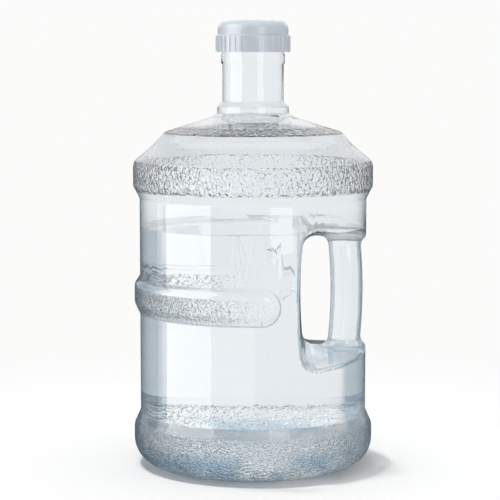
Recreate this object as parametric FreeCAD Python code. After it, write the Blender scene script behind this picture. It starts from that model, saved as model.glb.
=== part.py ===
"""Two-gallon clear water bottle with a moulded-in side handle.

The frame is the bottle's own: its axis is Z, its foot stands on z = 0, the
handle is on +X and the mould's parting plane is y = 0. Sizes are millimetres.
Three solids are written: the thin blown shell, the water in it and the cap.

The shell is its outside less its inside, and one function makes both: every
surface is moved in by one wall, and its roundings stay concentric.
"""
import os

import FreeCAD
import Part
from math import acos, atan2, cos, degrees, hypot, pi, radians, sin, sqrt, tan

V = FreeCAD.Vector
ORIGIN = V(0, 0, 0)
OUTWARDS = V(1, 0, 0)
AWAY = V(0, 1, 0)
UP = V(0, 0, 1)

# Shell: overall sizes
wall = 1.2                   # thickness of the blown wall
body_radius = 92.4           # plain cylinder between the ridges
ridge_radius = body_radius + 5.2   # foot ridge and shoulder ridge
recess_floor = 97.0          # height of the hand recess at the parting plane
recess_roof = 187.0
shoulder_low = recess_roof + 31.5   # where the plain body ends
water_level = recess_roof + 8.7

# Foot
push_up = 9.0                # rise of the base at the axis
push_up_fall = 2.0           # how far it has fallen at the push-up's edge
push_up_radius = body_radius - 32.4
push_up_round = 18.0
foot_inner_radius = body_radius - 23.4   # inside edge of the ring that the bottle stands on
foot_inner_round = 3.0
foot_round = 22.0            # from that ring up to the foot ridge
foot_ridge_top = 32.8        # top of the ridge's full radius
foot_crease = 44.2           # where the ridge has fallen to the body

# Roundings of the ridges and of the creases beside them
ridge_round = 8.0
crease_round = 3.0

# Shoulder and dome: heights above the end of the plain body
shoulder_swell = 10.0        # the body has swelled to the ridge
shoulder_swell_round = 5.0
shoulder_height = 29.0       # top of the ridge
dome_drop_height = 42.5      # lower edge of the steep ring on the dome
dome_drop_radius = body_radius - 10.9
dome_drop_round = 6.0
ring_top_height = 53.5       # upper edge of that ring
ring_top_radius = body_radius - 20.9
dome_top_height = 65.6       # top of the dome, round the neck's foot

# Neck, collar and the finish inside the cap
neck_radius = 24.8
neck_foot_radius = neck_radius + 4.2
dome_top_radius = neck_foot_radius + 4.0
neck_foot_rise = 3.0         # height of the slope from the dome to the foot
neck_foot_height = 8.5
neck_foot_round = 2.0
neck_step = 4.0              # height of the slope from the foot to the neck
neck_length = 30.0
collar_radius = neck_radius + 1.0
collar_height = 8.7
collar_slope = 0.8
finish_radius = neck_radius + 0.2
finish_height = 23.7

# Middle band, which stops on both sides of the handle
band_radius = body_radius + 4.5
band_low = 124.0
band_high = 155.5
band_slope_low = 9.5         # height of the slope at its lower edge
band_slope_high = 7.0
band_round = 7.0
band_end_gap = 33.7          # along the body, from the recess to the rounded ends

# Recess for the hand, open from both sides up to the parting plane
recess_left = body_radius - 53.5   # nearest point of its wall to the bottle's axis
recess_bow_radius = 420.0    # the wall bows towards the axis
floor_slope = 6.0            # degrees, falling towards both sides
roof_slope = 7.5             # degrees, rising towards both sides
wall_draft = 2.0             # degrees
parting_round = 30.0         # where the two halves meet at the parting plane
recess_corner = 11.0         # wall to floor and roof
recess_rim = 4.0             # rim on the body

# Handle: a hollow tube that bows outwards
handle_outer = body_radius - 2.5   # its outermost point from the axis
handle_radial = 26.2
handle_tangential = 28.0
handle_bow_radius = 380.0
handle_root = 8.0            # rounding into floor and roof

# Cap
cap_radius = finish_radius + 5.3   # over the ribs
cap_clearance = 1.0          # from the collar up to the skirt
cap_top = 3.4                # thickness above the finish, at the axis
cap_wall = 2.8               # thickness of the skirt, its thread included
cap_step = 13.5              # height of the ribbed part
cap_step_in = 0.8            # the plain part above is this much smaller
cap_edge_round = 6.5
cap_crown = 0.8              # fall of the top from the axis to the edge
rib_count = 36
rib_width = 1.4
rib_height = 0.9
rib_margin = 0.5             # the ribs stop this far short of the skirt's ends

# Worked out from the sizes above
dome_top = shoulder_low + dome_top_height
neck_low = dome_top + neck_foot_height
collar_low = neck_low + neck_step + neck_length
collar_top = collar_low + collar_height
mouth = collar_top + finish_height
recess_middle = (recess_floor + recess_roof) / 2
band_end_angle = degrees(acos(recess_left / body_radius) + band_end_gap / body_radius)
reach = 1.3 * ridge_radius   # past the outside of everything


def turn_at(before, corner, after):
    """Signed angle by which a path turns at a corner."""
    heading_in = atan2(corner[1] - before[1], corner[0] - before[0])
    heading_out = atan2(after[1] - corner[1], after[0] - corner[0])
    return (heading_out - heading_in + pi) % (2 * pi) - pi


def moved_left(points, inset):
    """The path of (x, z, rounding) moved to its left by the inset.

    The first and last points keep their x, so an end on the axis stays there.
    """
    moved = []
    last = len(points) - 1
    for number, (x, z, rounding) in enumerate(points):
        before = points[max(number - 1, 0)]
        after = points[min(number + 1, last)]
        if number in (0, last):
            length = hypot(after[0] - before[0], after[1] - before[1])
            moved.append((x, z + inset * (after[0] - before[0]) / length, 0))
            continue
        turn = turn_at(before, (x, z), after)
        across = atan2(z - before[1], x - before[0]) + turn / 2 + pi / 2
        shift = inset / cos(turn / 2)
        moved_round = rounding - inset if turn > 0 else rounding + inset
        moved_round = max(moved_round, 0) if rounding else 0
        moved.append((x + shift * cos(across), z + shift * sin(across), moved_round))
    return moved


def rounded_edges(points):
    """Lines and tangent arcs in the plane y = 0 through (x, z, rounding)."""
    edges = []
    start = V(points[0][0], 0, points[0][1])
    for before, corner, after in zip(points, points[1:], points[2:]):
        tip = V(corner[0], 0, corner[1])
        to_before = V(before[0], 0, before[1]) - tip
        to_after = V(after[0], 0, after[1]) - tip
        to_before.normalize()
        to_after.normalize()
        half_turn = abs(turn_at(before, corner, after)) / 2
        rounding = corner[2]
        if rounding == 0:
            edges.append(Part.LineSegment(start, tip).toShape())
            start = tip
            continue
        inwards = to_before + to_after
        inwards.normalize()
        cut = rounding * tan(half_turn)
        arc_start = tip + to_before * cut
        arc_middle = tip + inwards * (rounding / cos(half_turn) - rounding)
        arc_end = tip + to_after * cut
        edges.append(Part.LineSegment(start, arc_start).toShape())
        edges.append(Part.Arc(arc_start, arc_middle, arc_end).toShape())
        start = arc_end
    end = V(points[-1][0], 0, points[-1][1])
    edges.append(Part.LineSegment(start, end).toShape())
    return edges


def closed_face(points):
    """Face in the plane y = 0 inside a path, which is closed if it is open."""
    edges = rounded_edges(points)
    first = V(points[0][0], 0, points[0][1])
    last = V(points[-1][0], 0, points[-1][1])
    if first != last:
        edges.append(Part.LineSegment(last, first).toShape())
    return Part.Face(Part.Wire(edges))


def turned(points):
    """Solid of revolution about Z, with its seam on -X, away from the handle."""
    face = closed_face(points)
    face.rotate(ORIGIN, UP, 180)
    return face.revolve(ORIGIN, UP, 360)


def body_outline(inset):
    """Half section from the base's middle out, up and in to the neck."""
    shoulder = shoulder_low
    return moved_left([
        (0, push_up, 0),
        (push_up_radius, push_up - push_up_fall, push_up_round),
        (foot_inner_radius, 0, foot_inner_round),
        (ridge_radius, 0, foot_round),
        (ridge_radius, foot_ridge_top, ridge_round),
        (body_radius, foot_crease, crease_round),
        (body_radius, shoulder, crease_round),
        (ridge_radius, shoulder + shoulder_swell, shoulder_swell_round),
        (ridge_radius, shoulder + shoulder_height, ridge_round),
        (dome_drop_radius, shoulder + dome_drop_height, dome_drop_round),
        (ring_top_radius, shoulder + ring_top_height, crease_round),
        (dome_top_radius, dome_top, crease_round),
        (neck_foot_radius, dome_top + neck_foot_rise, neck_foot_round),
        (neck_foot_radius, neck_low, neck_foot_round),
        (neck_radius, neck_low + neck_step, neck_foot_round),
        (neck_radius, collar_low, 0),
    ], inset)


def neck_end(inset):
    """The outline's rest: collar and finish outside, a plain bore inside."""
    if inset:
        above = mouth + inset
        return [(neck_radius - inset, above, 0), (0, above, 0)]
    return [
        (neck_radius, collar_low, 0),
        (collar_radius, collar_low + collar_slope, 0),
        (collar_radius, collar_top - collar_slope, 0),
        (finish_radius, collar_top, 0),
        (finish_radius, mouth, 0),
        (0, mouth, 0),
    ]


def middle_band(inset):
    """The band as a solid down to the body's core, with rounded ends."""
    core = body_radius / 2
    face = closed_face(moved_left([
        (core, band_low, 0),
        (body_radius, band_low, 0),
        (band_radius, band_low + band_slope_low, band_round),
        (band_radius, band_high - band_slope_high, band_round),
        (body_radius, band_high, 0),
        (core, band_high, 0),
    ], inset))
    start = face.copy()
    start.rotate(ORIGIN, UP, band_end_angle)
    band = start.revolve(ORIGIN, UP, 360 - 2 * band_end_angle)

    middle = (band_low + band_high) / 2
    upper_half = face.common(Part.makeBox(reach, reach, reach, V(0, -reach / 2, middle)))
    rounded_end = upper_half.revolve(V(0, 0, middle), OUTWARDS, 180)
    mirrored_end = rounded_end.mirror(ORIGIN, AWAY)
    rounded_end.rotate(ORIGIN, UP, band_end_angle)
    mirrored_end.rotate(ORIGIN, UP, -band_end_angle)
    return band.fuse([rounded_end, mirrored_end])


def hand_gap(inset):
    """Slab between the recess's floor and roof, which part towards both sides."""
    low = recess_floor - inset / cos(radians(floor_slope))
    high = recess_roof + inset / cos(radians(roof_slope))
    low_far = low - reach * tan(radians(floor_slope))
    high_far = high + reach * tan(radians(roof_slope))
    face = closed_face([
        (reach, low_far, 0),
        (reach, high_far, 0),
        (0, high, parting_round - inset),
        (-reach, high_far, 0),
        (-reach, low_far, 0),
        (0, low, parting_round - inset),
        (reach, low_far, 0),
    ])
    face.rotate(ORIGIN, UP, 90)
    return face.extrude(V(reach, 0, 0))


def recess_drum(inset):
    """Wide drum about an axis along Y whose near side is the recess's wall."""
    radius = recess_bow_radius + inset / cos(radians(wall_draft))
    far_radius = radius + reach * tan(radians(wall_draft))
    drum = turned([
        (0, -reach, 0),
        (far_radius, -reach, 0),
        (radius, 0, parting_round - inset),
        (far_radius, reach, 0),
        (0, reach, 0),
    ])
    drum.rotate(ORIGIN, UP, 180)
    drum.rotate(ORIGIN, OUTWARDS, 90)
    drum.translate(V(recess_left + recess_bow_radius, 0, recess_middle))
    return drum


def handle_tube(inset):
    """The handle's outside as a bowed solid that runs on past both roots."""
    centre = V(handle_outer - handle_radial / 2, 0, recess_middle)
    across = V(handle_radial / 2 - inset, 0, 0)
    along_parting = V(0, handle_tangential / 2 - inset, 0)
    wide, narrow = sorted([across, along_parting], key=lambda half: -half.Length)
    section = Part.Ellipse(centre + wide, centre + narrow, centre)
    face = Part.Face(Part.Wire(section.toShape()))
    pivot = centre - V(handle_bow_radius, 0, 0)
    half_angle = degrees(0.8 * (recess_roof - recess_floor) / handle_bow_radius)
    face.rotate(pivot, AWAY, half_angle)
    return face.revolve(pivot, AWAY, -2 * half_angle)


def is_wall_corner(edge):
    """True for the edges where the recess's wall meets its floor or roof."""
    box = edge.BoundBox
    runs_along_wall = box.YLength > 0.1 * box.DiagonalLength
    return runs_along_wall and 0 < box.XMin and box.XMax < recess_left + recess_corner


def is_handle_root(edge):
    """True for the edges where the handle meets the floor or the roof."""
    box = edge.BoundBox
    beside_handle = max(-box.YMin, box.YMax) < handle_tangential
    return beside_handle and recess_left + recess_corner < box.XMin and box.XMax < reach - 1


def recess_cutter(inset):
    """What the recess removes: the gap outside its wall, less the handle."""
    cutter = hand_gap(inset).common(recess_drum(inset))
    corners = [edge for edge in cutter.Edges if is_wall_corner(edge)]
    cutter = cutter.makeFillet(recess_corner + inset, corners)
    cutter = cutter.cut(handle_tube(inset))
    roots = [edge for edge in cutter.Edges if is_handle_root(edge)]
    return cutter.makeFillet(handle_root + inset, roots)


def is_rim(edge, cutter, inset):
    """True for the edges that the recess's cutter leaves on the body."""
    point = edge.valueAt((edge.FirstParameter + edge.LastParameter) / 2)
    on_body = abs(hypot(point.x, point.y) - body_radius + inset) < 0.01
    return on_body and cutter.isInside(point, 0.01, True)


def bottle_form(inset):
    """The bottle's outside, or its inside for an inset of one wall.

    Inside, the recess's rim is a chamfer that touches the concentric rounding,
    so the wall keeps its thickness there.
    """
    cutter = recess_cutter(inset)
    form = turned(body_outline(inset)[:-1] + neck_end(inset))
    form = form.fuse(middle_band(inset)).cut(cutter)
    rim = [edge for edge in form.Edges if is_rim(edge, cutter, inset)]
    if inset:
        rim_chamfer = (2 - sqrt(2)) * (recess_rim - inset)
        return form.makeChamfer(rim_chamfer, rim).removeSplitter()
    return form.makeFillet(recess_rim, rim).removeSplitter()


def make_bottle(inside):
    """The blown shell: its outside less its inside, open at the mouth."""
    return bottle_form(0).cut(inside)


def make_water(inside):
    """Everything inside the shell below the level, the handle's bore included."""
    below = Part.makeBox(2 * reach, 2 * reach, water_level, V(-reach, -reach, 0))
    return inside.common(below)


def make_cap():
    """Ribbed screw cap, resting on the neck's rim.

    Its inner corner clears the rim and stays inside the rounded outer edge.
    """
    low = collar_top + cap_clearance
    top = mouth + cap_top
    skirt = cap_radius - rib_height
    inner = skirt - cap_wall
    upper = skirt - cap_step_in
    cap = turned([
        (0, mouth, 0),
        (inner, mouth, inner - finish_radius),
        (inner, low, 0),
        (skirt, low, 0),
        (skirt, low + cap_step, 0),
        (upper, low + cap_step + cap_step_in, 0),
        (upper, top - cap_crown, cap_edge_round),
        (0, top, 0),
    ])
    rib = Part.makeBox(rib_height + cap_wall / 2, rib_width, cap_step - 2 * rib_margin,
                       V(skirt - cap_wall / 2, -rib_width / 2, low + rib_margin))
    ribs = []
    for number in range(rib_count):
        copy = rib.copy()
        copy.rotate(ORIGIN, UP, 360 * number / rib_count)
        ribs.append(copy)
    return cap.fuse(ribs).removeSplitter()


def write_parts():
    """Build the three solids and write one STEP file for each."""
    os.makedirs("parts", exist_ok=True)
    inside = bottle_form(wall)
    nodes = {
        "bottle": make_bottle(inside),
        "water": make_water(inside),
        "cap": make_cap(),
    }
    for name, solid in nodes.items():
        solid.exportStep(f"parts/{name}.step")
        print(f"{name}: {solid.Volume / 1000:.1f} ml, valid {solid.isValid()}")


if __name__ == "__main__":
    write_parts()
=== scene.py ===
# %% [markdown]
# # A two-gallon water bottle
#
# The bottle is one thin skin of clear plastic, blown into a mould, with a hollow
# handle that belongs to the same skin. Water fills it to a little over half its
# height, and a ribbed screw cap closes it. This lesson loads the three solids of
# the CAD model, gives the clear ones meshes that bend light well, makes their
# finishes from nodes, and lights them as a product on white.

# %% Load the frame
from math import cos, pi, radians, sin, tan

import bmesh
import bpy
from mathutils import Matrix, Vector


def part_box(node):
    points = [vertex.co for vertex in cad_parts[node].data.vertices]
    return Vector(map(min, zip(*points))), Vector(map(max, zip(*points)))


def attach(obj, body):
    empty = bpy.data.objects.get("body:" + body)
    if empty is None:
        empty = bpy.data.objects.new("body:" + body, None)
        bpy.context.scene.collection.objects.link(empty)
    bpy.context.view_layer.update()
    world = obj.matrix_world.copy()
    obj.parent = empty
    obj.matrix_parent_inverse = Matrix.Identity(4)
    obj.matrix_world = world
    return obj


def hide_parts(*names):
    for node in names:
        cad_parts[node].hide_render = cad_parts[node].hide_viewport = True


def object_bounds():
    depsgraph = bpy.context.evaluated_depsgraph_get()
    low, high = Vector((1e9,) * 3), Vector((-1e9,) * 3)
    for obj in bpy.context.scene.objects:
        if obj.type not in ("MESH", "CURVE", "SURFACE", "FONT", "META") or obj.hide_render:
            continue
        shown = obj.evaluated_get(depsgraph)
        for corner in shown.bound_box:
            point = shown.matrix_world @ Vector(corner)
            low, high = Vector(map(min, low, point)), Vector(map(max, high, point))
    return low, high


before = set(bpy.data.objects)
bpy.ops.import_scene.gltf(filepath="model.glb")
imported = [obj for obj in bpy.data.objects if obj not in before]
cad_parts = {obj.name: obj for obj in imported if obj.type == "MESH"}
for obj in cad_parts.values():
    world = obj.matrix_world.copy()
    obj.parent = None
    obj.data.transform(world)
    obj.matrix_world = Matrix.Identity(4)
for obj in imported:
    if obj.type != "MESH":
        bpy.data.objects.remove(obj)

cad_low, cad_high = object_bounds()
print("CAD box in mm:", [round(1000 * v, 1) for v in (*cad_low, *cad_high)])

# %% [markdown]
# ## Sizes to build on
#
# The sizes below come from the boxes of the solids. The scene is in metres, so
# small sizes are written times MM to stay readable. The foot and the band are
# measured up from the floor, and the shoulder and the dome down from the cap's top.

# %% Sizes
MM = 0.001
scene = bpy.context.scene
collection = scene.collection

ridge_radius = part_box("bottle")[1].y
water_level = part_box("water")[1].z
total_height = cad_high.z


def below_top(drop):
    """The height this far below the cap's top."""
    return total_height - drop


for name, size in (("ridge radius", ridge_radius), ("level", water_level),
                   ("height", total_height)):
    print(f"{name} {size / MM:.1f} mm")

# %% [markdown]
# ## Camera
#
# A long lens from a metre and a half away, a little above the bottle, keeps the
# sides upright while it still looks down on the water and on the ledge below the
# handle. The tilt puts the bottle's middle in the middle of the picture.

# %% Camera
camera_distance = 1.5
camera_height = 0.3395
camera_side = -2.46 * MM
camera_tilt = 6.25
lens = 132.7

camera_data = bpy.data.cameras.new("studio_camera")
camera_data.sensor_width = 36.0
camera_data.lens = lens
camera = bpy.data.objects.new("studio_camera", camera_data)
camera.location = (camera_side, -camera_distance, camera_height)
camera.rotation_euler = (radians(90 - camera_tilt), 0, 0)
collection.objects.link(camera)
scene.camera = camera
print(f"camera {camera_distance} m away, lens {lens} mm, tilt {camera_tilt} degrees")

# %% [markdown]
# ## Colour handling
#
# The Standard view shows colours as they are written, with no film look, so a
# white of 1 in the scene is white in the picture.

# %% View
scene.view_settings.view_transform = "Standard"
print("view transform", scene.view_settings.view_transform)

# %% [markdown]
# ## Helpers for node trees
#
# Every finish here is a node tree. These helpers add a node and set or link its
# inputs by name, do arithmetic, turn a value into a share between 0 and 1, blend
# colours and shaders, and start a material, so that each one reads like a recipe.

# %% Node helpers
def connect(tree, socket, value):
    """Link a socket to another node's output, or set it to a plain value."""
    if isinstance(value, bpy.types.NodeSocket):
        tree.links.new(value, socket)
    else:
        socket.default_value = value


def add_node(tree, kind, inputs=None, **settings):
    """Add a node, set its properties, and set or link its inputs."""
    node = tree.nodes.new("ShaderNode" + kind)
    for name, value in settings.items():
        setattr(node, name, value)
    for name, value in (inputs or {}).items():
        connect(tree, node.inputs[name], value)
    return node


def calculate(tree, operation, *values):
    """The result of a Math node."""
    node = add_node(tree, "Math", operation=operation)
    for socket, value in zip(node.inputs, values):
        connect(tree, socket, value)
    return node.outputs[0]


def share_between(tree, value, start, end, interpolation="LINEAR"):
    """0 up to the start and 1 from the end on, with a straight slope between."""
    node = add_node(tree, "MapRange", {"Value": value, "From Min": start, "From Max": end},
                    interpolation_type=interpolation)
    return node.outputs[0]


def ramp(tree, value, start, end):
    """As share_between, with a slope that starts and ends softly."""
    return share_between(tree, value, start, end, "SMOOTHSTEP")


def blend_colours(tree, share, first, second):
    """The mix of two colours, as the output of a Mix node."""
    node = add_node(tree, "Mix", data_type="RGBA")
    for number, value in ((0, share), (6, first), (7, second)):
        connect(tree, node.inputs[number], value)
    return node.outputs[2]


def blend_shaders(tree, share, first, second):
    """A Mix Shader node between two shader nodes."""
    node = add_node(tree, "MixShader")
    for socket, value in zip(node.inputs, (share, first.outputs[0], second.outputs[0])):
        connect(tree, socket, value)
    return node


def new_material(name):
    """An empty material: its node tree and its output node."""
    material = bpy.data.materials.new(name)
    material.use_nodes = True
    tree = material.node_tree
    tree.nodes.clear()
    return material, tree, tree.nodes.new("ShaderNodeOutputMaterial")


print("helpers:", ", ".join(helper.__name__ for helper in (
    add_node, calculate, share_between, ramp, blend_colours, blend_shaders, new_material)))

# %% [markdown]
# ## White studio
#
# Clear plastic only shows what is around it. Behind the bottle the studio is
# white, and that white is also what the bottle lets through. What its surfaces
# mirror is a much darker room in front of the white, and steeply upwards they show
# a grey ceiling. That gives the walls their grey tone, and the ridges and edges
# their drawn lines. Light Path tells these kinds of ray apart.

# %% World
studio_white = (0.965, 0.965, 0.958, 1)
room_light = (0.545, 0.545, 0.55, 1)
room_mirrored = (0.07, 0.08, 0.09, 1)
ceiling_grey = (0.42, 0.44, 0.46, 1)
# Y or Z of a direction of length 1, from where one tone ends to where the next is full
backdrop_sides = (0.55, 0.9)
above_floor = (0.0, 0.08)
up_to_ceiling = (0.40, 0.75)

world = bpy.data.worlds.new("studio")
scene.world = world
world.use_nodes = True
tree = world.node_tree
tree.nodes.clear()
generated = add_node(tree, "TexCoord").outputs["Generated"]
direction = add_node(tree, "SeparateXYZ", {"Vector": generated}).outputs
backdrop = calculate(tree, "MULTIPLY", share_between(tree, direction["Y"], *backdrop_sides),
                     share_between(tree, direction["Z"], *above_floor))
mirrored = blend_colours(tree, backdrop, room_mirrored, studio_white)
overhead = share_between(tree, direction["Z"], *up_to_ceiling)
seen_through = blend_colours(tree, overhead, studio_white, ceiling_grey)
path = add_node(tree, "LightPath").outputs
looks_through = calculate(tree, "MAXIMUM", path["Is Camera Ray"], path["Is Transmission Ray"])
room = blend_colours(tree, path["Is Glossy Ray"], room_light, mirrored)
seen = blend_colours(tree, looks_through, room, seen_through)
background = add_node(tree, "Background", {"Color": seen})
output = add_node(tree, "OutputWorld", {"Surface": background.outputs[0]})
print("studio white", studio_white[:3], "mirrored room", room_mirrored[:3])

# %% [markdown]
# ## Lamps
#
# Two suns from above, one of them from the back left, throw the short shadow round
# the foot and to its right. The other lamps are cards that light nothing: they are
# only there to be mirrored, as strips of light are stood beside glass in a studio.
# The bottle is seen from above and its upright walls mirror what is low, so the
# cards reach down past the floor.

# %% Lamps
def place_lamp(name, kind, energy, location, rotation):
    """A lamp that the camera and bent rays don't see."""
    data = bpy.data.lights.new(name, kind)
    data.energy = energy
    lamp = bpy.data.objects.new(name, data)
    lamp.location = location
    lamp.rotation_euler = rotation
    lamp.visible_camera = False
    lamp.visible_transmission = False
    collection.objects.link(lamp)
    return lamp


def mirrored_card(name, azimuths, heights, brightness, distance=1.0):
    """An upright lit card facing the axis, between two azimuths from the camera's side."""
    first, last = (radians(angle) for angle in azimuths)
    angle = (first + last) / 2
    width = 2 * distance * tan((last - first) / 2)
    tall = heights[1] - heights[0]
    card = place_lamp(name, "AREA", brightness * pi * width * tall,
                      (distance * sin(angle), -distance * cos(angle), sum(heights) / 2),
                      (radians(90), 0, angle))
    card.data.shape = "RECTANGLE"
    card.data.size = width
    card.data.size_y = tall
    card.visible_diffuse = False
    return card


cards = (   # name, azimuths in degrees, heights in metres, brightness
    ("left_card", (-94, -41), (-0.5, 1.4), 3.2),
    ("left_strip", (-108, -98), (-0.5, 1.4), 1.0),
    ("right_card", (16, 38), (0.079, 0.8), 2.2),
    ("low_card", (-41, 2), (-0.8, 0.0), 0.9),
)
for card in cards:
    mirrored_card(*card)

sun_place = (0, 0, 2)
sun_width = radians(6)
suns = (    # name, tilt and turn in degrees, strength
    ("back_sun", 14, -110, 1.38),
    ("top_sun", 4, -90, 0.30),
)
for name, tilt, turn, strength in suns:
    sun = place_lamp(name, "SUN", strength, sun_place, (radians(tilt), 0, radians(turn)))
    sun.data.angle = sun_width
    sun.visible_glossy = False

# %% [markdown]
# ## Floor
#
# The floor is matte paper that takes the shadow near the bottle and fades into the
# studio's white further out, so no horizon shows. Seen through the bottle it glows
# with painted light, lighter than beside it, which brightens the foot and the ledge.
# Nothing mirrors it, so that the cards below it reach the bottle's walls.

# %% Floor
floor_radius = 3.0
shadow_radius = 0.20
fade_radius = 0.55
floor_segments = 96
paper_white = (0.96, 0.96, 0.955, 1)
painted_glow_through = 0.95      # painted light: how much of the paper seen through the bottle glows

bm = bmesh.new()
bmesh.ops.create_circle(bm, cap_ends=True, segments=floor_segments, radius=floor_radius)
mesh = bpy.data.meshes.new("floor")
bm.to_mesh(mesh)
bm.free()
floor = bpy.data.objects.new("floor", mesh)
collection.objects.link(floor)
floor.visible_glossy = False

material, tree, output = new_material("floor_paper")
coordinates = add_node(tree, "TexCoord")
distance = add_node(tree, "VectorMath", {0: coordinates.outputs["Object"]}, operation="LENGTH")
fade = ramp(tree, distance.outputs["Value"], shadow_radius, fade_radius)
paper = add_node(tree, "BsdfDiffuse", {"Color": paper_white})
glow = add_node(tree, "Emission", {"Color": studio_white})
path = add_node(tree, "LightPath").outputs
# painted light: seen through the bottle, the paper glows, which brightens the foot and the ledge
seen_through = calculate(tree, "MULTIPLY", path["Is Transmission Ray"], painted_glow_through)
glow_share = calculate(tree, "MAXIMUM", fade, seen_through)
connect(tree, output.inputs["Surface"], blend_shaders(tree, glow_share, paper, glow).outputs[0])
mesh.materials.append(material)
print(f"floor {2 * floor_radius} m across, shadow within {fade_radius} m")

# %% [markdown]
# ## Meshes of the clear pieces
#
# The CAD meshes are loose triangles with flat shading, and light bent by flat
# facets looks broken. A welded copy with smooth shading and face-weighted normals
# bends it evenly. Its roundings turn by up to 17 degrees from facet to facet, so an
# edge that turns by more than 21 is a real crease and stays sharp.

# %% Welded copies
crease_angle = radians(21)
weld_distance = 0.002 * MM
full_weight = 100


def copy_of_node(node, name):
    """A welded, smooth-shaded copy of a CAD node, which it replaces."""
    bm = bmesh.new()
    bm.from_mesh(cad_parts[node].data)
    bmesh.ops.remove_doubles(bm, verts=bm.verts, dist=weld_distance)
    mesh = bpy.data.meshes.new(name)
    bm.to_mesh(mesh)
    bm.free()
    mesh.shade_smooth()
    mesh.set_sharp_from_angle(angle=crease_angle)
    piece = bpy.data.objects.new(name, mesh)
    collection.objects.link(piece)
    smooth = piece.modifiers.new("even_normals", "WEIGHTED_NORMAL")
    smooth.weight = full_weight
    smooth.keep_sharp = True
    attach(piece, "root")
    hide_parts(node)
    print(name, len(mesh.vertices), "vertices", len(mesh.polygons), "faces")
    return piece


shell = copy_of_node("bottle", "bottle_shell")
fill = copy_of_node("water", "water_fill")

# %% [markdown]
# ## Water that touches its wall
#
# The water fills the bottle from wall to wall. Two surfaces in the same place
# flicker, and a gap would mirror like a film of air, so the water's skin is moved
# a little way into the plastic. The rim of its level moves only sideways, so that
# the level stays where it is.

# %% Water into the wall
into_wall = 0.4 * MM
level_margin = 0.01 * MM
least_sideways = 0.1     # normals inside the level lean less than this

bm = bmesh.new()
bm.from_mesh(fill.data)
bm.normal_update()
for vertex in bm.verts:
    outward = vertex.normal.copy()
    if vertex.co.z > water_level - level_margin:
        outward.z = 0
        if outward.length > least_sideways:
            outward.normalize()
    vertex.co += outward * into_wall
bm.to_mesh(fill.data)
bm.free()
print(f"water reaches {into_wall / MM} mm into the wall")

# %% [markdown]
# ## Where the mould is etched
#
# The mould is etched with a pebble grain on the ridges, on the band and on the
# ring round the dome, which hides scratches from crates and gives wet hands a
# grip. Each etched zone lies between two heights and outside one radius, with a
# soft limit. A node group makes such a zone, and is placed once for each.

# %% Etched zone group
zone_inputs = ("Low", "High", "Radius", "Limit", "Depth")
etched_zone = bpy.data.node_groups.new("etched_zone", "ShaderNodeTree")
for name in zone_inputs:
    etched_zone.interface.new_socket(name, in_out="INPUT", socket_type="NodeSocketFloat")
etched_zone.interface.new_socket("Mask", in_out="OUTPUT", socket_type="NodeSocketFloat")
given = etched_zone.nodes.new("NodeGroupInput").outputs
result = etched_zone.nodes.new("NodeGroupOutput").inputs

position = add_node(etched_zone, "TexCoord").outputs["Object"]
place = add_node(etched_zone, "SeparateXYZ", {"Vector": position}).outputs
across = calculate(etched_zone, "SQRT", calculate(
    etched_zone, "ADD", calculate(etched_zone, "MULTIPLY", place["X"], place["X"]),
    calculate(etched_zone, "MULTIPLY", place["Y"], place["Y"])))
above = ramp(etched_zone, place["Z"], given["Low"],
             calculate(etched_zone, "ADD", given["Low"], given["Limit"]))
below = ramp(etched_zone, place["Z"], given["High"],
             calculate(etched_zone, "SUBTRACT", given["High"], given["Limit"]))
nearest = calculate(etched_zone, "SUBTRACT", given["Radius"], given["Limit"])
mask = given["Depth"]
for share in (above, below, ramp(etched_zone, across, nearest, given["Radius"])):
    mask = calculate(etched_zone, "MULTIPLY", mask, share)
connect(etched_zone, result["Mask"], mask)
print("zone inputs:", ", ".join(zone_inputs))

# %% [markdown]
# ## Plastic waviness
#
# Blown and moulded plastic is never quite even: its thickness drifts slowly, and
# the mould leaves a fine grain. The bottle's foot drifts over centimetres and the
# cap over less than one, so both take it from one group with their own sizes.

# %% Waviness group
grain_size = 0.4 * MM

waviness = bpy.data.node_groups.new("moulded_waviness", "ShaderNodeTree")
for name, value in (("Size", 20 * MM), ("Grain", 0.0)):
    socket = waviness.interface.new_socket(name, in_out="INPUT", socket_type="NodeSocketFloat")
    socket.default_value = value
for name in ("Height", "Variation"):
    waviness.interface.new_socket(name, in_out="OUTPUT", socket_type="NodeSocketFloat")
given = waviness.nodes.new("NodeGroupInput").outputs
result = waviness.nodes.new("NodeGroupOutput").inputs
position = add_node(waviness, "TexCoord").outputs["Object"]
slow = add_node(waviness, "TexNoise", {
    "Vector": position, "Scale": calculate(waviness, "DIVIDE", 1.0, given["Size"]), "Detail": 1.0})
fine = add_node(waviness, "TexNoise", {"Vector": position, "Scale": 1 / grain_size, "Detail": 2.0})
grain = calculate(waviness, "MULTIPLY", fine.outputs["Fac"], given["Grain"])
connect(waviness, result["Height"], calculate(waviness, "ADD", slow.outputs["Fac"], grain))
connect(waviness, result["Variation"], slow.outputs["Fac"])
print("waviness group", [item.name for item in waviness.interface.items_tree])


def add_group(tree, group, inputs):
    """Place a node group in a material with its own values."""
    node = tree.nodes.new("ShaderNodeGroup")
    node.node_tree = group
    for name, value in inputs.items():
        connect(tree, node.inputs[name], value)
    return node


# %% [markdown]
# ## Clear materials
#
# Plastic and water share one recipe: a Principled shader that transmits, and a
# Transparent shader for shadow rays, so that light reaches the floor through the
# bottle instead of a black shadow. Where an upright wall turns away from the eye its
# colour is darkened with painted shade, which stands in for the dark room bent in at
# the edges; on the thin shell a little of it is the longer path through the plastic.
# Light that wanders inside the piece keeps its strength, and after some turns it goes
# straight on, since a path that ends in the plastic would leave a black spot.

# %% Clear recipe
turns_followed = 8
upright_slopes = (0.95, 0.5)     # upright part of the normal, from a flat to an upright wall


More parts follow.
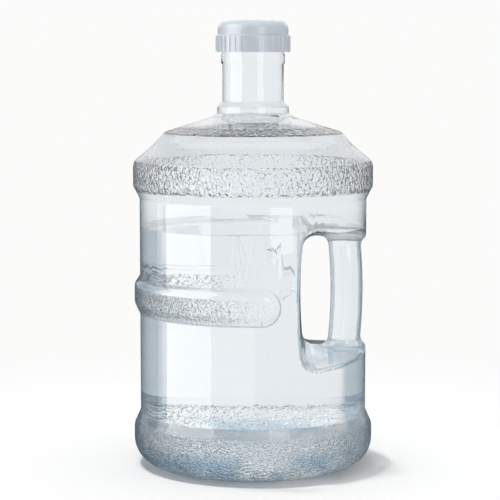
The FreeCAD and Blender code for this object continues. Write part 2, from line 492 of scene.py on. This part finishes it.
def clear_material(name, face_on, painted_edge_shade, turning, shade, ior):
    """A clear material with painted shade in its colour where an upright wall turns away.

    The turning is the span of Layer Weight's Facing over which the painted shade comes in.
    """
    material, tree, output = new_material(name)
    turned_away = add_node(tree, "LayerWeight", {"Blend": 0.5}).outputs["Facing"]
    geometry = add_node(tree, "NewGeometry")
    normal = add_node(tree, "SeparateXYZ", {"Vector": geometry.outputs["Normal"]})
    tilt = calculate(tree, "ABSOLUTE", normal.outputs["Z"])
    outside = calculate(tree, "SUBTRACT", 1.0, geometry.outputs["Backfacing"])
    upright = ramp(tree, tilt, *upright_slopes)
    slanted = calculate(tree, "MULTIPLY", ramp(tree, turned_away, *turning), upright)
    # painted shade: the outside of an upright wall darkens as it turns away from the eye
    painted_edge_darkening = calculate(tree, "MULTIPLY", slanted, outside)
    colour = blend_colours(tree, painted_edge_darkening, face_on, painted_edge_shade)
    clear = add_node(tree, "BsdfPrincipled", {
        "Base Color": colour, "Roughness": 0.0, "IOR": ior, "Transmission Weight": 1.0})
    through = add_node(tree, "BsdfTransparent", {"Color": shade})
    straight_on = add_node(tree, "BsdfTransparent", {"Color": (1, 1, 1, 1)})
    path = add_node(tree, "LightPath").outputs
    tired = calculate(tree, "GREATER_THAN", path["Ray Depth"], turns_followed)
    surface = blend_shaders(tree, path["Is Shadow Ray"],
                            blend_shaders(tree, tired, clear, straight_on), through)
    connect(tree, output.inputs["Surface"], surface.outputs[0])
    return material, tree, clear, through


print("clear recipe ready for the plastic and the water")

# %% [markdown]
# ## Blown plastic
#
# The shell is clear with a faint blue tint. One Voronoi pattern makes all the
# pebbles, finest on the band and coarsest on the shoulder, and noise bends it so
# that no two are alike. On the band they fade out towards the handle, where the
# mould is polished. First come the zones, measured as on a drawing.

# %% Bottle material
body_shade = (0.99, 0.99, 0.99, 1)
# The edge colour is painted shade for the dark room bent in at the edges, partly the longer path
# through the thin wall.
plastic, tree, clear, through = clear_material(
    "blown_plastic", face_on=(0.929, 0.950, 0.967, 1), painted_edge_shade=(0.42, 0.47, 0.52, 1),
    turning=(0.55, 0.95), shade=body_shade, ior=1.5)
zones = {   # low and high limit, inner radius, width of the limit, depth of the pebbles
    "dome_ring": (below_top(91.8 * MM), below_top(86.4 * MM),
                  ridge_radius - 42.6 * MM, 0.3 * MM, 3.0),
    "shoulder": (below_top(137.4 * MM), below_top(113.4 * MM),
                 ridge_radius - 4.1 * MM, 1.5 * MM, 1.7),
    "band": (123.5 * MM, 147 * MM, ridge_radius - 4.0 * MM, 1.0 * MM, 1.45),
    "foot": (-5 * MM, 38 * MM, 1 * MM, 3.0 * MM, 1.4),
}
masks = {}
for zone_name, values in zones.items():
    zone_node = add_group(tree, etched_zone, dict(zip(zone_inputs, values)))
    zone_node.label = zone_name
    masks[zone_name] = zone_node.outputs["Mask"]
print("etched zones:", ", ".join(zones))

# %% [markdown]
# ## Pebbles
#
# The size of the cells changes with height, in the plain parts between the zones
# where nothing shows it. Cells whose middles stand out make round pebbles, and the
# bump's depth is that of etched steel, a third of a millimetre.

# %% Pebbles
foot_pebble = 1.5 * MM
band_pebble = 1.4 * MM
shoulder_pebble = 2.3 * MM
pebble_depth = 0.30 * MM
pebble_slope = (0.15, 0.85)              # from a pebble's flat top to the valley
noise_fineness, noise_reach = 0.7, 1.6   # per pebble, and in pebbles
polished = (32 * MM, -30 * MM)           # along X, from no pebbles to full ones

position = add_node(tree, "TexCoord").outputs["Object"]
place = add_node(tree, "SeparateXYZ", {"Vector": position}).outputs
masks["band"] = calculate(tree, "MULTIPLY", masks["band"], ramp(tree, place["X"], *polished))
etched = calculate(tree, "ADD", calculate(tree, "ADD", masks["dome_ring"], masks["shoulder"]),
                   calculate(tree, "ADD", masks["band"], masks["foot"]))
fineness = 1 / foot_pebble
for size, low, high in ((band_pebble, 60 * MM, 100 * MM), (shoulder_pebble, 180 * MM, 200 * MM)):
    fineness = add_node(tree, "MapRange", {
        "Value": place["Z"], "From Min": low, "From Max": high,
        "To Min": fineness, "To Max": 1 / size}).outputs[0]
noise_scale = calculate(tree, "MULTIPLY", fineness, noise_fineness)
waver = add_node(tree, "TexNoise", {"Vector": position, "Scale": noise_scale, "Detail": 0.0})
reach = calculate(tree, "DIVIDE", noise_reach, fineness)
shift = add_node(tree, "VectorMath", {0: waver.outputs["Color"], "Scale": reach}, operation="SCALE")
bent = add_node(tree, "VectorMath", {0: position, 1: shift.outputs[0]}, operation="ADD")
cells = add_node(tree, "TexVoronoi", {"Vector": bent.outputs[0], "Scale": fineness})
valleys = ramp(tree, cells.outputs["Distance"], *pebble_slope)
sunk = calculate(tree, "MULTIPLY", valleys, etched)
relief = add_node(tree, "Bump", {"Height": sunk, "Distance": pebble_depth}, invert=True)
connect(tree, clear.inputs["Normal"], relief.outputs[0])
for name, size in (("foot", foot_pebble), ("band", band_pebble), ("shoulder", shoulder_pebble)):
    print(f"{name} pebbles {size / MM:.1f} mm")

# %% [markdown]
# ## Thick plastic at the foot
#
# The blown tube is thickest where it closes under the bottle. There the plastic is
# bluer, in slow patches, and keeps more light from the floor.

# %% Thick foot
drift_size = 30 * MM
drift_span = (0.42, 0.66)        # values of the drift, from thick to thin
thick_span = (30 * MM, 16 * MM)  # heights, from plain to thick plastic
thick_blue, thin_blue = (0.57, 0.70, 0.81, 1), (0.97, 0.99, 1.0, 1)
foot_shade = (0.42, 0.44, 0.47, 1)

foot = calculate(tree, "MINIMUM", masks["foot"], 1.0)
drift = add_group(tree, waviness, {"Size": drift_size}).outputs["Variation"]
patches = blend_colours(tree, ramp(tree, drift, *drift_span), thick_blue, thin_blue)
thick = calculate(tree, "MULTIPLY", foot, ramp(tree, place["Z"], *thick_span))
plain = clear.inputs["Base Color"].links[0].from_socket
connect(tree, clear.inputs["Base Color"], blend_colours(tree, thick, plain, patches))
connect(tree, through.inputs["Color"], blend_colours(tree, foot, body_shade, foot_shade))
shell.data.materials.append(plastic)
print("bottle material", plastic.name, "with", len(tree.nodes), "nodes")

# %% [markdown]
# ## Still water
#
# The water has the refractive index 1.33, so the filled part of the bottle acts as
# one thick lens. Its level is flat as glass apart from the thin curve where it wets
# the wall, which is too small to show.

# %% Water material
# The water's edge colour is painted shade for the dark room that its lens bends in.
still_water = clear_material(
    "still_water", face_on=(0.985, 0.992, 0.995, 1), painted_edge_shade=(0.36, 0.43, 0.48, 1),
    turning=(0.140, 0.175), shade=(0.99, 0.99, 0.99, 1), ior=1.33)[0]
fill.data.materials.append(still_water)
print("water material", still_water.name)

# %% [markdown]
# ## Cap plastic
#
# The cap is pale blue-grey polyethylene, a little see-through, with a satin skin.
# Light that enters it comes out nearby, which softens the ribs, so it gets some
# subsurface scattering. A slow variation of colour and gloss keeps it from looking
# like one flat paint.

# %% Cap material
cap_shades = (0.74, 0.81, 0.88, 1), (0.80, 0.86, 0.92, 1)
cap_unevenness = {"Size": 9 * MM, "Grain": 0.25}
satin_range = {"To Min": 0.24, "To Max": 0.38}
cap_plastic, tree, output = new_material("cap_plastic")
wavy = add_group(tree, waviness, cap_unevenness).outputs
colour = blend_colours(tree, wavy["Variation"], *cap_shades)
roughness = add_node(tree, "MapRange", {"Value": wavy["Variation"], **satin_range})
grained = add_node(tree, "Bump", {"Height": wavy["Height"], "Distance": 0.15 * MM, "Strength": 0.6})
satin = add_node(tree, "BsdfPrincipled", {
    "Base Color": colour, "Roughness": roughness.outputs[0], "Normal": grained.outputs[0],
    "IOR": 1.5, "Subsurface Weight": 0.35, "Subsurface Scale": 4 * MM,
    "Coat Weight": 0.6, "Coat Roughness": 0.12})
connect(tree, output.inputs["Surface"], satin.outputs[0])
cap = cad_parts["cap"]
cap.data.materials.clear()
cap.data.materials.append(cap_plastic)
print("cap material", cap_plastic.name)
